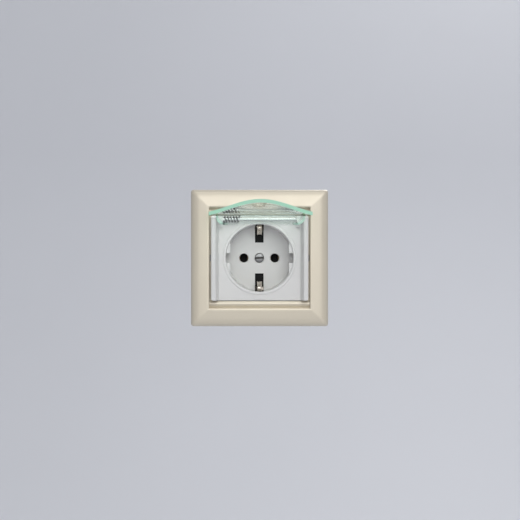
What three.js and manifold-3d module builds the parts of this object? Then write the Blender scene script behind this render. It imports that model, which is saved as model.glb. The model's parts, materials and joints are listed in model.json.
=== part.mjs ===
// Flush wall socket outlet with a hinged splash lid: bezel frame, white socket cover, sprung
// translucent lid, steel mounting plate, and the contact block that sits in the wall box.
//
// Millimetres. +Z is up and the wall's face is the plane y = 0: the front of the object looks
// along -Y and the contact block reaches along +Y into the wall. The origin is the centre of
// the socket on the wall's face.

import * as THREE from "three";
import { mergeVertices } from "three/addons/utils/BufferGeometryUtils.js";
import Module from "manifold-3d";

const wasm = await Module();
wasm.setup();

// ---------------------------------------------------------------- driving dimensions

const FIT = 0.3; // gap left between pieces that touch
const FRAME = { halfWidth: 41.7, halfHeight: 41.5, cornerRadius: 1.7, front: -9.5 };
const WINDOW = { halfWidth: 30.5, halfHeight: 30.7, cornerRadius: 0.5 };
const BAND = FRAME.halfWidth - WINDOW.halfWidth; // width of the bezel from its edge to its window
const COVER = { halfWidth: 29.4, halfHeight: 25.7, cornerRadius: 1.4, edgeBack: -5.1, back: -3.8 };
const RAIL_TOP = -11.85; // front faces of the cover's two side rails
const FIELD = -5.9; // the cover's face between the rails
const FIELD_HALF_WIDTH = 24.5;
const RING = { rim: -6.3, outer: 22.35, mouth: 20.4, floorRadius: 19.9, shell: 21.9 };
const PLUG_DEPTH = 17.5; // depth of the plug's recess below the ring's rim
const FLOOR = RING.rim + PLUG_DEPTH;
const FLOOR_BACK = FLOOR + 1.6;
const PIN = { x: 9.5, radius: 2.7 }; // the two pin holes, 19 mm apart
const EARTH_SLOT = { halfWidth: 2.65, inner: 9.5, outer: 20.9 };
const CUP_SEGMENTS = 56; // facets round the recess
const GUIDE = { flat: 17.9, top: -4.9, notchHalfHeight: 2.95 }; // the recess's two side guides

const HINGE = { y: -9.4, z: 23.4, pinRadius: 0.9, pinHalfLength: 25.8 };
const LID = {
  halfWidth: 29.8,
  length: 50, // from the hinge axis to the free edge
  heel: 1.8, // how far the sheet runs past the hinge axis
  thickness: 2.1,
  offset: 2.75, // from the hinge axis out to the sheet's inner face
  rise: 7.4, // how far the middle of the free edge arches out
  openAngle: THREE.MathUtils.degToRad(88),
};
const SKIRT = { halfWidth: 25.7, depth: 5.4, wall: 1.1, corner: 4.6, start: 3.2, end: 45.2, lipHalf: 19 };

const PLATE = { half: 35.2, thickness: 1.0, cornerRadius: 5, opening: 22.4 };
const BASE = { halfWidth: 22, halfHeight: 25, limit: 29.2, front: 15.7, back: 33 };
const STRIP = { front: 14.6, back: 15.4 }; // the sheet metal strips on the contact block's face
const WIRE_Y = 17.9; // how deep the wires enter their terminals
const CUP_CLEARANCE = 22.2; // radius that the contact block leaves for the cover's cup
const TERMINAL_RADIUS = 25; // terminals sit on the block's diagonals
const DIAGONAL = TERMINAL_RADIUS * Math.SQRT1_2;
const BOX_SCREW = { reach: 30, radius: 2.1 }; // wall box screws, 60 mm apart
const CLAW = { screwX: 25.7, hingeX: 22.95, hingeY: 7.2, halfHeight: 5.6, forkHalf: 2.3, thickness: 1.1 };
const LEDGE = { width: 2.2, front: -4.8, back: -4.1 }; // the bezel's ledge, clamped under the cover

const TERMINALS = [
  { name: "live", x: -DIAGONAL, z: -DIAGONAL },
  { name: "neutral", x: DIAGONAL, z: -DIAGONAL },
  { name: "earth", x: DIAGONAL, z: DIAGONAL },
];

// ---------------------------------------------------------------- materials

function material(color, roughness, metalness, opacity = 1) {
  return new THREE.MeshStandardMaterial({
    color,
    roughness,
    metalness,
    opacity,
    transparent: opacity < 1,
  });
}

const champagne = material(0xcfc6b4, 0.38, 0.55);
const white = material(0xe2e2e2, 0.35, 0);
const seaGreen = material(0x8fd8b8, 0.12, 0, 0.45);
const blackPlastic = material(0x2b2c2e, 0.55, 0);
const zincSteel = material(0xb9bcc0, 0.4, 0.9);
const nickel = material(0xb9ac9c, 0.3, 0.95);
const brass = material(0xc9a24d, 0.32, 0.95);
const springSteel = material(0x9fa3a8, 0.25, 1);

// ---------------------------------------------------------------- solids

// A closed geometry as a solid for joining and cutting.
function solid(geometry) {
  const bare = geometry.index ? geometry.toNonIndexed() : geometry.clone();
  const positions = new THREE.BufferGeometry().setAttribute("position", bare.getAttribute("position"));
  const merged = mergeVertices(positions, 1e-4);
  return new wasm.Manifold(
    new wasm.Mesh({
      numProp: 3,
      vertProperties: merged.attributes.position.array,
      triVerts: new Uint32Array(merged.index.array),
    }),
  );
}

function geometryOf(made) {
  const mesh = made.getMesh();
  const positions = new Float32Array(mesh.numVert * 3);
  for (let i = 0; i < mesh.numVert; i++) {
    positions.set(mesh.vertProperties.subarray(i * mesh.numProp, i * mesh.numProp + 3), i * 3);
  }
  return new THREE.BufferGeometry()
    .setAttribute("position", new THREE.BufferAttribute(positions, 3))
    .setIndex(new THREE.BufferAttribute(mesh.triVerts, 1));
}

const join = (...solids) => solids.reduce((a, b) => a.add(b));
const cut = (body, ...tools) => tools.reduce((a, b) => a.subtract(b), body);

function block([x0, x1], [y0, y1], [z0, z1]) {
  const box = new THREE.BoxGeometry(x1 - x0, y1 - y0, z1 - z0);
  return solid(box.translate((x0 + x1) / 2, (y0 + y1) / 2, (z0 + z1) / 2));
}

// A block turned about the Y axis through its own centre at (x, z).
function turnedBlock(width, [y0, y1], height, x, z, angle) {
  const box = new THREE.BoxGeometry(width, y1 - y0, height);
  return solid(box.rotateY(angle).translate(x, (y0 + y1) / 2, z));
}

// A round rod along Y; frontRadius makes it a cone that ends in that radius at y0.
function rod(radius, [y0, y1], x = 0, z = 0, segments = 32, frontRadius = radius) {
  const cylinder = new THREE.CylinderGeometry(radius, frontRadius, y1 - y0, segments);
  return solid(cylinder.translate(x, (y0 + y1) / 2, z));
}

function rodAlongX(radius, [x0, x1], y, z, segments = 24) {
  const cylinder = new THREE.CylinderGeometry(radius, radius, x1 - x0, segments);
  return solid(cylinder.rotateZ(Math.PI / 2).translate((x0 + x1) / 2, y, z));
}

function rodAlongZ(radius, [z0, z1], x, y, segments = 14) {
  const cylinder = new THREE.CylinderGeometry(radius, radius, z1 - z0, segments);
  return solid(cylinder.rotateX(Math.PI / 2).translate(x, y, (z0 + z1) / 2));
}

// A solid of revolution about the Y axis, from a closed list of [radius, y] points.
function turned(points, segments) {
  const profile = points.map(([r, y]) => new THREE.Vector2(r, y));
  return solid(new THREE.LatheGeometry(profile, segments));
}

function roundedRectangle(halfWidth, halfHeight, radius) {
  const shape = new THREE.Shape();
  const w = halfWidth - radius;
  const h = halfHeight - radius;
  shape.absarc(w, h, radius, 0, Math.PI / 2);
  shape.absarc(-w, h, radius, Math.PI / 2, Math.PI);
  shape.absarc(-w, -h, radius, Math.PI, 1.5 * Math.PI);
  shape.absarc(w, -h, radius, 1.5 * Math.PI, 2 * Math.PI);
  return shape;
}

function polygon(points) {
  return new THREE.Shape(points.map(([a, b]) => new THREE.Vector2(a, b)));
}

// A shape drawn in X and Z, given thickness along Y.
function slab(shape, [y0, y1], curveSegments = 3) {
  const extruded = new THREE.ExtrudeGeometry(shape, { depth: y1 - y0, bevelEnabled: false, curveSegments });
  return solid(extruded.rotateX(Math.PI / 2).translate(0, y1, 0));
}

// A shape drawn in Y and Z (as its x and y), given thickness along X.
function slabAlongX(shape, [x0, x1], curveSegments = 3) {
  const extruded = new THREE.ExtrudeGeometry(shape, { depth: x1 - x0, bevelEnabled: false, curveSegments });
  const toYZ = new THREE.Matrix4().makeBasis(
    new THREE.Vector3(0, 1, 0),
    new THREE.Vector3(0, 0, 1),
    new THREE.Vector3(1, 0, 0),
  );
  return solid(extruded.applyMatrix4(toYZ).translate(x0, 0, 0));
}

// A shape drawn in X and Y, given thickness along Z.
function slabAlongZ(shape, [z0, z1], curveSegments = 3) {
  const extruded = new THREE.ExtrudeGeometry(shape, { depth: z1 - z0, bevelEnabled: false, curveSegments });
  return solid(extruded.translate(0, 0, z0));
}

// The outline of a bent strip of sheet metal: a centreline thickened to both sides.
function stripOutline(points, thickness) {
  const line = points.map(([a, b]) => new THREE.Vector2(a, b));
  const sides = [[], []];
  line.forEach((point, i) => {
    const before = line[Math.max(i - 1, 0)];
    const after = line[Math.min(i + 1, line.length - 1)];
    const along = after.clone().sub(before).normalize();
    const step = new THREE.Vector2(-along.y, along.x).multiplyScalar(thickness / 2);
    sides[0].push(point.clone().add(step));
    sides[1].unshift(point.clone().sub(step));
  });
  return new THREE.Shape([...sides[0], ...sides[1]]);
}

const mirrorX = (made) => solid(geometryOf(made.mirror([1, 0, 0])));
const mirrorZ = (made) => solid(geometryOf(made.mirror([0, 0, 1])));

// ---------------------------------------------------------------- bezel frame

// Section of the bezel, as [distance in from the outer edge, y], front side first.
const BEZEL_FRONT = [
  [0, 0],
  [0, -3.4],
  [0.2, -4.9],
  [0.7, -6.3],
  [1.6, -7.4],
  [2.8, -8.15],
  [4.4, -8.7],
  [6.8, -9.1],
  [9.2, -9.4],
  [10.5, FRAME.front],
  [BAND, -9.3],
];
const BEZEL_BACK = [
  [BAND, LEDGE.front],
  [BAND + LEDGE.width, LEDGE.front],
  [BAND + LEDGE.width, LEDGE.back],
  [9.2, LEDGE.back],
  [9.2, -7.6],
  [5.4, -7.2],
  [3.6, -6.6],
  [2.2, -5.2],
  [1.6, -3.2],
  [1.6, 0],
];

// One loop of the bezel: the outline at a given distance in from the outer edge.
function bezelLoop(inset, y, cornerSteps = 4) {
  const share = inset / BAND;
  const radius = THREE.MathUtils.lerp(FRAME.cornerRadius, WINDOW.cornerRadius, share);
  const w = THREE.MathUtils.lerp(FRAME.halfWidth, WINDOW.halfWidth, share) - radius;
  const h = THREE.MathUtils.lerp(FRAME.halfHeight, WINDOW.halfHeight, share) - radius;
  const corners = [[w, h], [-w, h], [-w, -h], [w, -h]];
  const loop = [];
  corners.forEach(([x, z], quarter) => {
    for (let step = 0; step <= cornerSteps; step++) {
      const angle = ((quarter + step / cornerSteps) * Math.PI) / 2;
      loop.push([x + radius * Math.cos(angle), y, z + radius * Math.sin(angle)]);
    }
  });
  return loop;
}

function bezelRing() {
  const loops = [...BEZEL_FRONT, ...BEZEL_BACK].map(([inset, y]) => bezelLoop(inset, y));
  const count = loops[0].length;
  const index = [];
  loops.forEach((_, i) => {
    const next = (i + 1) % loops.length;
    for (let j = 0; j < count; j++) {
      const k = (j + 1) % count;
      const [a, b, c, d] = [i * count + j, i * count + k, next * count + k, next * count + j];
      index.push(a, b, c, a, c, d);
    }
  });
  const geometry = new THREE.BufferGeometry();
  geometry.setAttribute("position", new THREE.Float32BufferAttribute(loops.flat(2), 3));
  geometry.setIndex(index);
  return solid(geometry);
}

// The ribbed sill that fills the window above and below the cover.
function sill() {
  const outer = WINDOW.halfHeight + 0.4;
  const inner = COVER.halfHeight + FIT;
  const outline = polygon([
    [LEDGE.back, inner],
    [-5.9, inner],
    [-6.7, 26.6],
    [-7.1, 27.4],
    [-7.1, 28.2],
    [-6.6, 29.3],
    [-6.1, 30.2],
    [-6.1, outer],
    [LEDGE.back, outer],
  ]);
  return slabAlongX(outline, [-WINDOW.halfWidth - 0.4, WINDOW.halfWidth + 0.4]);
}

function bezelFrame() {
  const top = sill();
  const across = [COVER.halfWidth - 0.4, WINDOW.halfWidth - FIT];
  const pryNotch = block(across, [LEDGE.front - 1, LEDGE.back + 1], [-2, 2]);
  return cut(join(bezelRing(), top, mirrorZ(top)), pryNotch, mirrorX(pryNotch));
}

// ---------------------------------------------------------------- socket cover

function rail() {
  const base = COVER.edgeBack - 0.2;
  const outline = polygon([
    [FIELD_HALF_WIDTH, base],
    [COVER.halfWidth + 1, base],
    [COVER.halfWidth + 1, RAIL_TOP + 2.1],
    [COVER.halfWidth - 0.5, RAIL_TOP],
    [27.1, RAIL_TOP],
    [26.4, RAIL_TOP + 0.5],
    [25.2, -7.9],
    [FIELD_HALF_WIDTH, FIELD],
  ]);
  const bar = slabAlongZ(outline, [-COVER.halfHeight - 1, COVER.halfHeight + 1]);
  const edge = roundedRectangle(COVER.halfWidth, COVER.halfHeight, COVER.cornerRadius);
  const trim = slab(edge, [RAIL_TOP - 1, 0]);
  const corner = block([20, 32], [RAIL_TOP - 1, HINGE.y], [HINGE.z, COVER.halfHeight + 1]);
  const round = rodAlongX(LID.offset - FIT - 0.02, [19, 33], HINGE.y, HINGE.z, 36);
  return cut(bar.intersect(trim), cut(corner, round));
}

function hingeLug() {
  const lug = block([22.3, 25.4], [HINGE.y - 1.7, FIELD + 0.5], [21.2, COVER.halfHeight - 0.4]);
  const foot = block([22.4, 25], [FIELD - 0.8, FIELD + 0.5], [18.4, 21.3]);
  return join(lug, foot);
}

// The cup that takes the plug: its ring, wall, floor and the two notched side guides.
function plugCup() {
  const cup = turned(
    [
      [0, FLOOR_BACK],
      [0, FLOOR],
      [RING.floorRadius, FLOOR],
      [RING.mouth, RING.rim + 0.5],
      [20.8, RING.rim],
      [21.7, RING.rim],
      [22.2, RING.rim + 0.3],
      [RING.outer, FIELD + 0.1],
      [RING.outer, FIELD + 1.4],
      [RING.shell, FIELD + 2],
      [RING.shell - 0.4, FLOOR_BACK],
      [0, FLOOR_BACK],
    ],
    CUP_SEGMENTS,
  );
  const inside = rod(RING.mouth + 0.2, [GUIDE.top, FLOOR + 0.5], 0, 0, CUP_SEGMENTS);
  const side = block([GUIDE.flat, 22], [GUIDE.top - 1, FLOOR + 1], [-15, 15]).intersect(inside);
  const notchHeight = [-GUIDE.notchHalfHeight, GUIDE.notchHalfHeight];
  const notch = block([17, RING.mouth + 0.3], [GUIDE.top, FLOOR - 0.5], notchHeight);
  return cut(join(cup, side, mirrorX(side)), notch, mirrorX(notch));
}

function socketCover() {
  const outline = roundedRectangle(COVER.halfWidth, COVER.halfHeight, COVER.cornerRadius);
  const betweenLedges = WINDOW.halfWidth - LEDGE.width - 2 * FIT;
  const behind = roundedRectangle(betweenLedges, COVER.halfHeight - 1, COVER.cornerRadius);
  const plate = join(slab(outline, [FIELD, COVER.edgeBack]), slab(behind, [FIELD + 0.2, COVER.back]));
  const lip = block([-25, 25], [FIELD - 0.4, FIELD + 0.5], [-COVER.halfHeight, -COVER.halfHeight + 0.9]);
  const latch = block([-3.3, 3.3], [FIELD - 0.8, FIELD + 0.5], [-25, -22.7]);
  const wellInPlate = rod(21, [-8, 0], 0, 0, CUP_SEGMENTS);
  const sides = [rail(), hingeLug()].flatMap((made) => [made, mirrorX(made)]);
  const body = join(cut(join(plate, lip, latch, ...sides), wellInPlate), plugCup());

  const pinHole = (x) => [
    rod(PIN.radius, [FLOOR - 1, FLOOR_BACK + 1], x, 0, 24),
    rod(PIN.radius, [FLOOR - 0.05, FLOOR + 0.5], x, 0, 24, PIN.radius + 0.45),
  ];
  const slot = block(
    [-EARTH_SLOT.halfWidth, EARTH_SLOT.halfWidth],
    [-4.9, FLOOR_BACK + 1],
    [EARTH_SLOT.inner, EARTH_SLOT.outer],
  );
  return cut(
    body,
    ...pinHole(-PIN.x),
    ...pinHole(PIN.x),
    rod(3.1, [FLOOR - 1, FLOOR + 1.15], 0, 0, 24),
    rod(2.1, [FLOOR, FLOOR_BACK + 1], 0, 0, 24),
    slot,
    mirrorZ(slot),
    rodAlongX(HINGE.pinRadius + FIT, [-26.1, 26.1], HINGE.y, HINGE.z),
  );
}

// A screw with a domed, slotted head: headFront is the top of its head and tip its far end.
function slottedScrew({ headRadius, headFront, headBack, shankRadius, tip, slotAngle, slotWidth = 0.9 }) {
  const dome = headFront + 0.35;
  const screw = turned(
    [
      [0, tip],
      [0, headFront],
      [headRadius * 0.55, headFront + 0.08],
      [headRadius * 0.9, dome - 0.1],
      [headRadius, dome + 0.15],
      [headRadius, headBack],
      [shankRadius, headBack],
      [shankRadius, tip - 0.8],
      [shankRadius - 0.6, tip],
      [0, tip],
    ],
    20,
  );
  const slotDepth = [headFront - 1, headFront + 0.85];
  return cut(screw, turnedBlock(headRadius * 3, slotDepth, slotWidth, 0, 0, slotAngle));
}

// ---------------------------------------------------------------- lid

// How far the lid's sheet arches out at x, as a share of the rise: between a bell and a parabola.
function arch(x) {
  const share = x / LID.halfWidth;
  const bell = (1 + Math.cos(Math.PI * share)) / 2;
  const parabola = 1 - share * share;
  return (bell + parabola) / 2;
}

// The lid is modelled shut, with the hinge axis as its own X axis: its sheet lies at
// y = -offset and hangs down along -Z. A ruled surface: straight at the hinge, arched at the
// free edge.
function lidSheet(columns = 24) {
  const positions = [];
  const stations = [-LID.heel, 0, LID.length * 0.36, LID.length * 0.7, LID.length];
  const rows = stations.length - 1;
  for (const face of [0, LID.thickness]) {
    for (const along of stations) {
      const share = Math.max(along, 0) / LID.length;
      for (let column = 0; column <= columns; column++) {
        const x = THREE.MathUtils.lerp(-LID.halfWidth, LID.halfWidth, column / columns);
        positions.push(x, -(LID.offset + face + LID.rise * arch(x) * share), -along);
      }
    }
  }
  const width = columns + 1;
  const sheet = width * stations.length;
  const index = [];
  const quad = (a, b, c, d) => index.push(a, b, c, a, c, d);
  for (let row = 0; row < rows; row++) {
    for (let column = 0; column < columns; column++) {
      const a = row * width + column;
      quad(a, a + 1, a + width + 1, a + width);
      quad(sheet + a, sheet + a + width, sheet + a + width + 1, sheet + a + 1);
    }
  }
  for (let column = 0; column < columns; column++) {
    const last = rows * width + column;
    quad(column, sheet + column, sheet + column + 1, column + 1);
    quad(last, last + 1, sheet + last + 1, sheet + last);
  }
  for (let row = 0; row < rows; row++) {
    const left = row * width;
    const right = left + columns;
    quad(left, left + width, sheet + left + width, sheet + left);
    quad(right, sheet + right, sheet + right + width, right + width);
  }
  const geometry = new THREE.BufferGeometry();
  geometry.setAttribute("position", new THREE.Float32BufferAttribute(positions, 3));
  geometry.setIndex(index);
  return solid(geometry);
}

// The space under the arched sheet out to the skirt's outer face, as a shape in X and Y.
function skirtOutline(inset) {
  const w = SKIRT.halfWidth - inset;
  const bottom = -LID.offset + SKIRT.depth - inset;
  const radius = SKIRT.corner - inset / 2;
  const top = -LID.offset - LID.rise - 1;
  const shape = new THREE.Shape();
  shape.moveTo(-w, top);
  shape.lineTo(w, top);
  shape.absarc(w - radius, bottom - radius, radius, 0, Math.PI / 2);
  shape.absarc(-w + radius, bottom - radius, radius, Math.PI / 2, Math.PI);
  return shape;
}

// The wall under the sheet: two cross walls and, between them, two side walls that curl in.
function lidSkirt() {
  const solidTub = slabAlongZ(skirtOutline(0), [-SKIRT.end, -SKIRT.start]);
  const between = [-SKIRT.end + SKIRT.wall, -SKIRT.start - SKIRT.wall];
  const hollow = slabAlongZ(skirtOutline(SKIRT.wall), between);
  const open = block([-SKIRT.lipHalf, SKIRT.lipHalf], [-LID.offset, SKIRT.depth], between);
  return cut(solidTub, hollow, open);
}

// Everything on the outer side of the sheet's middle, used to trim what stands under it.
function aboveSheet() {
  const reach = LID.offset + LID.rise;
  const steps = 16;
  const edge = [];
  for (let step = 0; step <= steps; step++) {
    const x = THREE.MathUtils.lerp(-LID.halfWidth, LID.halfWidth, step / steps);
    edge.push([x, arch(x)]);
  }
  const wedge = (share) => edge.map(([x, a]) => [x, -(LID.offset + 0.6 + LID.rise * a * share)]);
  const near = wedge(0);
  const far = wedge(1);
  const positions = [];
  const rows = [
    [near, false, LID.heel + 1],
    [near, true, LID.heel + 1],
    [near, true, 0],
    [far, true, -LID.length],
    [far, true, -LID.length - 1],
    [far, false, -LID.length - 1],
  ];
  rows.forEach(([line, trimmed, z]) => {
    line.forEach(([x, y]) => positions.push(x, trimmed ? y : -reach - 12, z));
  });
  const width = steps + 1;
  const index = [];
  const quad = (a, b, c, d) => index.push(a, b, c, a, c, d);
  rows.forEach((_, row) => {
    const next = (row + 1) % rows.length;
    for (let column = 0; column < steps; column++) {
      const [a, b] = [row * width + column, next * width + column];
      quad(a, a + 1, b + 1, b);
    }
  });
  for (let row = 1; row < rows.length - 1; row++) {
    index.push(0, row * width, (row + 1) * width);
    index.push(steps, (row + 1) * width + steps, row * width + steps);
  }
  const geometry = new THREE.BufferGeometry();
  geometry.setAttribute("position", new THREE.Float32BufferAttribute(positions, 3));
  geometry.setIndex(index);
  return solid(geometry);
}

function lid() {
  const barrel = rodAlongX(1.8, [-11.4, 21.9], 0, 0);
  const web = block([-11.4, 21.9], [-LID.offset - 0.4, 0], [-1.6, 1.6]);
  const under = cut(join(lidSkirt(), barrel, web), aboveSheet());
  const bore = rodAlongX(HINGE.pinRadius + FIT, [-40, 40], 0, 0);
  return cut(join(lidSheet(), under), bore);
}

// ---------------------------------------------------------------- mounting plate

function obround([x0, z0], [x1, z1], radius) {
  const along = Math.atan2(z1 - z0, x1 - x0);
  const shape = new THREE.Shape();
  shape.absarc(x1, z1, radius, along - Math.PI / 2, along + Math.PI / 2);
  shape.absarc(x0, z0, radius, along + Math.PI / 2, along + 1.5 * Math.PI);
  return shape;
}

const RIVETS = [[-9.5, 24.6], [9.5, 24.6], [-9.5, -24.6], [9.5, -24.6]];

function mountingPlate() {
  const through = [-PLATE.thickness - 1, 1];
  const tools = [rod(PLATE.opening, through, 0, 0, 48)];
  for (const { x, z } of TERMINALS) {
    tools.push(rod(4.2, through, x, z, 20));
  }
  for (const side of [-1, 1]) {
    tools.push(rod(1.9, through, side * CLAW.screwX, 0, 16));
    const reach = side * BOX_SCREW.reach;
    tools.push(slab(obround([-4, reach], [4, reach], BOX_SCREW.radius), through));
    for (const half of [-1, 1]) {
      const slot = obround([reach, half * 7.5], [reach, half * 14], BOX_SCREW.radius);
      tools.push(slab(slot, through));
    }
  }
  RIVETS.forEach(([x, z]) => tools.push(rod(1.6, through, x, z, 14)));
  const outline = roundedRectangle(PLATE.half, PLATE.half, PLATE.cornerRadius);
  return cut(slab(outline, [-PLATE.thickness, 0]), ...tools);
}

function rivet([x, z]) {
  return solid(
    new THREE.LatheGeometry(
      [[0, 6], [0, -2], [1.2, -1.95], [1.9, -1.65], [2.1, -1.3], [1.25, -1.3], [1.25, 6], [0, 6]].map(
        ([r, y]) => new THREE.Vector2(r, y),
      ),
      14,
    ).translate(x, 0, z),
  );
}

// ---------------------------------------------------------------- contact block

// A hole that lets a wire into a terminal's pocket from the block's outer corner.
function wireEntry(x, z, sideways) {
  const outwards = Math.atan2(x, z);
  const hole = new THREE.CylinderGeometry(1.5, 1.5, 9, 14).rotateX(Math.PI / 2);
  hole.translate(sideways, WIRE_Y, TERMINAL_RADIUS + 5).rotateY(outwards);
  return solid(hole);
}

function contactBase() {
  const limit = rod(BASE.limit, [-1, BASE.back + 1], 0, 0, 48);
  const cupSpace = rod(CUP_CLEARANCE, [-1, BASE.front], 0, 0, 48);
  const core = slab(roundedRectangle(BASE.halfWidth, BASE.halfHeight, 2), [BASE.front, BASE.back]);
  const tower = block([-12, 12], [FIT, BASE.front + 1], [20, 27.2]);
  const trunnionHole = rodAlongZ(1.2, [-12, 12], CLAW.hingeX, CLAW.hingeY);
  const ear = cut(block([21.2, 25.2], [4.8, BASE.front + 4], [6, 8.8]), trunnionHole);
  const post = block([12, BASE.halfWidth], [9, BASE.front + 1], [12, BASE.halfHeight - 2.5]);
  const earAndPost = join(ear, post);
  const right = join(earAndPost, mirrorZ(earAndPost));
  const body = cut(join(core, tower, mirrorZ(tower), right, mirrorX(right)), cupSpace).intersect(limit);

  const chamber = block([PIN.x - 3.7, PIN.x + 3.7], [BASE.front - 1, 30], [-4.2, 4.2]);
  const rivetHoles = RIVETS.map(([x, z]) => rod(1.6, [-1, 7], x, z, 14));
  const pockets = TERMINALS.flatMap(({ x, z }) => [
    turnedBlock(7, [8, 27], 6.3, x, z, Math.atan2(x, z)),
    wireEntry(x, z, -1.8),
    wireEntry(x, z, 1.8),
  ]);
  const relief = block([3.2, 16.5], [BASE.back - 1.6, BASE.back + 1], [-9, 9]);
  return cut(
    body,
    chamber,
    mirrorX(chamber),
    relief,
    mirrorX(relief),
    rod(3.4, [BASE.front - 1, 21.8], 0, 0, 24),
    rod(2.2, [21, 27], 0, 0, 24),
    ...rivetHoles,
    ...pockets,
  );
}

function contactRetainer() {
  const armNotch = block([-3.2, 3.2], [12, 16], [17.4, 24]);
  return cut(
    rod(20.4, [FLOOR_BACK + FIT, STRIP.front - FIT], 0, 0, 40),
    rod(3.1, [12, 16], -PIN.x, 0, 20),
    rod(3.1, [12, 16], PIN.x, 0, 20),
    rod(2.3, [12, 16], 0, 0, 16),
    armNotch,
    mirrorZ(armNotch),
  );
}

// The ring-shaped end of a strip, under a terminal's screw head.
function terminalEye({ x, z }) {
  return { ring: rod(2.9, [STRIP.front, STRIP.back], x, z, 20), hole: rod(2, [12, 17], x, z, 16) };
}

// A pin contact: two sprung jaws joined by a web, in a chamber of the block, and a strip to
// its terminal.
function pinContact(terminal) {
  const jawLine = [[2.95, STRIP.front + 0.4], [2.95, 17], [2.45, 19.6], [2.6, 22], [3, 25]];
  const jaw = slabAlongZ(stripOutline(jawLine, 0.8), [-3, 3]);
  const web = block([-3, 3], [STRIP.front, 19], [2.9, 3.7]);
  const grip = join(jaw, mirrorX(jaw), web).translate([PIN.x, 0, 0]);
  const eye = terminalEye({ x: Math.abs(terminal.x), z: terminal.z });
  const link = slab(
    polygon([
      [12.2, 3],
      [12.8, 3],
      [15.5, -1],
      [17.2, -13.4],
      [19.3, -15.6],
      [15.6, -18.8],
      [12.8, -8],
      [12.2, -3],
    ]),
    [STRIP.front, STRIP.back],
  );
  const made = cut(join(grip, link, eye.ring), eye.hole);
  return terminal.x < 0 ? mirrorX(made) : made;
}

// The earth bracket: a strip across the block with a sprung arm at each end and a terminal tab.
function earthBracket(terminal) {
  const strip = block([-4, 4], [STRIP.front, STRIP.back], [-20.3, 20.3]);
  const bend = stripOutline(
    [
      [STRIP.back - 0.1, 19.9],
      [2, 20.05],
      [-2.6, 20.0],
      [-3.7, 19.3],
      [-4.0, 18.2],
      [-3.3, 17.2],
      [0.5, 15.6],
      [3.6, 14.5],
      [5.6, 14.9],
      [7, 16],
    ],
    0.75,
  );
  const arm = slabAlongX(bend, [-1.45, 1.45]);
  const eye = terminalEye(terminal);
  const tabOutline = polygon([[3.8, 8], [16.5, 14.5], [20, 17], [16, 20], [13.5, 17.5], [3.8, 14]]);
  const tab = slab(tabOutline, [STRIP.front, STRIP.back]);
  return cut(join(strip, arm, mirrorZ(arm), tab, eye.ring), eye.hole, rod(2.3, [12, 17]));
}

function centreNut() {
  return cut(rod(3.1, [BASE.front + FIT, 21.5], 0, 0, 6), rod(1.95, [14, 23], 0, 0, 16));
}

function clampPlate({ x, z }) {
  const rest = [20.2, 22.4];
  return cut(turnedBlock(6.3, rest, 5.6, x, z, Math.atan2(x, z)), rod(1.95, [19, 24], x, z, 16));
}

// ---------------------------------------------------------------- expansion claws

// The right-hand claw: a forked steel leg with outward teeth. Its tab, at the front, is pulled
// forward by the claw's screw, and two trunnions hold it in the block's ears.
function claw() {
  const outline = stripOutline(
    [
      [29, CLAW.hingeY],
      [23.3, CLAW.hingeY],
      [22.95, 7.7],
      [22.95, 20.2],
      [23.5, 22],
      [25.2, 23.7],
      [28.4, 24.7],
    ],
    CLAW.thickness,
  );
  const leg = slabAlongZ(outline, [-CLAW.halfHeight, CLAW.halfHeight]);
  const fork = block([22, 32], [9.4, 40], [-CLAW.forkHalf, CLAW.forkHalf]);
  const screwSlot = block([23.8, 28.1], [5, 9], [-1.9, 1.9]);
  const tabCorner = block([25.5, 31], [5, 9], [3.7, 7]);
  const toothGap = turnedBlock(2.2, [21, 27], 2.2, 29, 0, Math.PI / 4);
  const notches = [-3.95, 3.95].map((z) => toothGap.translate([0, 0, z]));
  const trunnion = rodAlongZ(0.9, [4.9, 8.4], CLAW.hingeX, CLAW.hingeY);
  const body = join(leg, trunnion, mirrorZ(trunnion));
  return cut(body, fork, screwSlot, tabCorner, mirrorZ(tabCorner), ...notches);
}

function clawSpring() {
  return cut(
    rod(2.6, [FIT, CLAW.hingeY - CLAW.thickness / 2 - FIT], CLAW.screwX, 0, 16),
    rod(1.9, [-1, 9], CLAW.screwX, 0, 16),
  );
}

// ---------------------------------------------------------------- assembly

const assembly = new THREE.Group();

function place(name, made, finish, parent = assembly) {
  const mesh = new THREE.Mesh(geometryOf(made), finish);
  mesh.name = name;
  parent.add(mesh);
  return mesh;
}

place("bezel_frame", bezelFrame(), champagne);
place("socket_cover", socketCover(), white);
place("mounting_plate", mountingPlate(), zincSteel);
place("contact_base", contactBase(), blackPlastic);
place("contact_retainer", contactRetainer(), blackPlastic);
place("live_contact", pinContact(TERMINALS[0]), brass);
place("neutral_contact", pinContact(TERMINALS[1]), brass);
place("earth_bracket", earthBracket(TERMINALS[2]), nickel);
place("centre_nut", centreNut(), brass);

const coverScrew = {
  headRadius: 2.8,
  headFront: FLOOR - 0.3,
  headBack: FLOOR + 0.85,
  shankRadius: 1.6,
  tip: 25,
  slotAngle: -0.08,
  slotWidth: 1.25,
};
place("cover_screw", slottedScrew(coverScrew), zincSteel);

RIVETS.forEach((at, i) => place(`plate_rivet_${i + 1}`, rivet(at), zincSteel));

TERMINALS.forEach((terminal, i) => {
  const screw = slottedScrew({
    headRadius: 2.45,
    headFront: 12,
    headBack: STRIP.front - FIT,
    shankRadius: 1.6,
    tip: 26,
    slotAngle: 0.6 + i,
  });
  place(`terminal_screw_${terminal.name}`, screw, zincSteel).position.set(terminal.x, 0, terminal.z);
  place(`terminal_clamp_${terminal.name}`, clampPlate(terminal), zincSteel);
});

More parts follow.
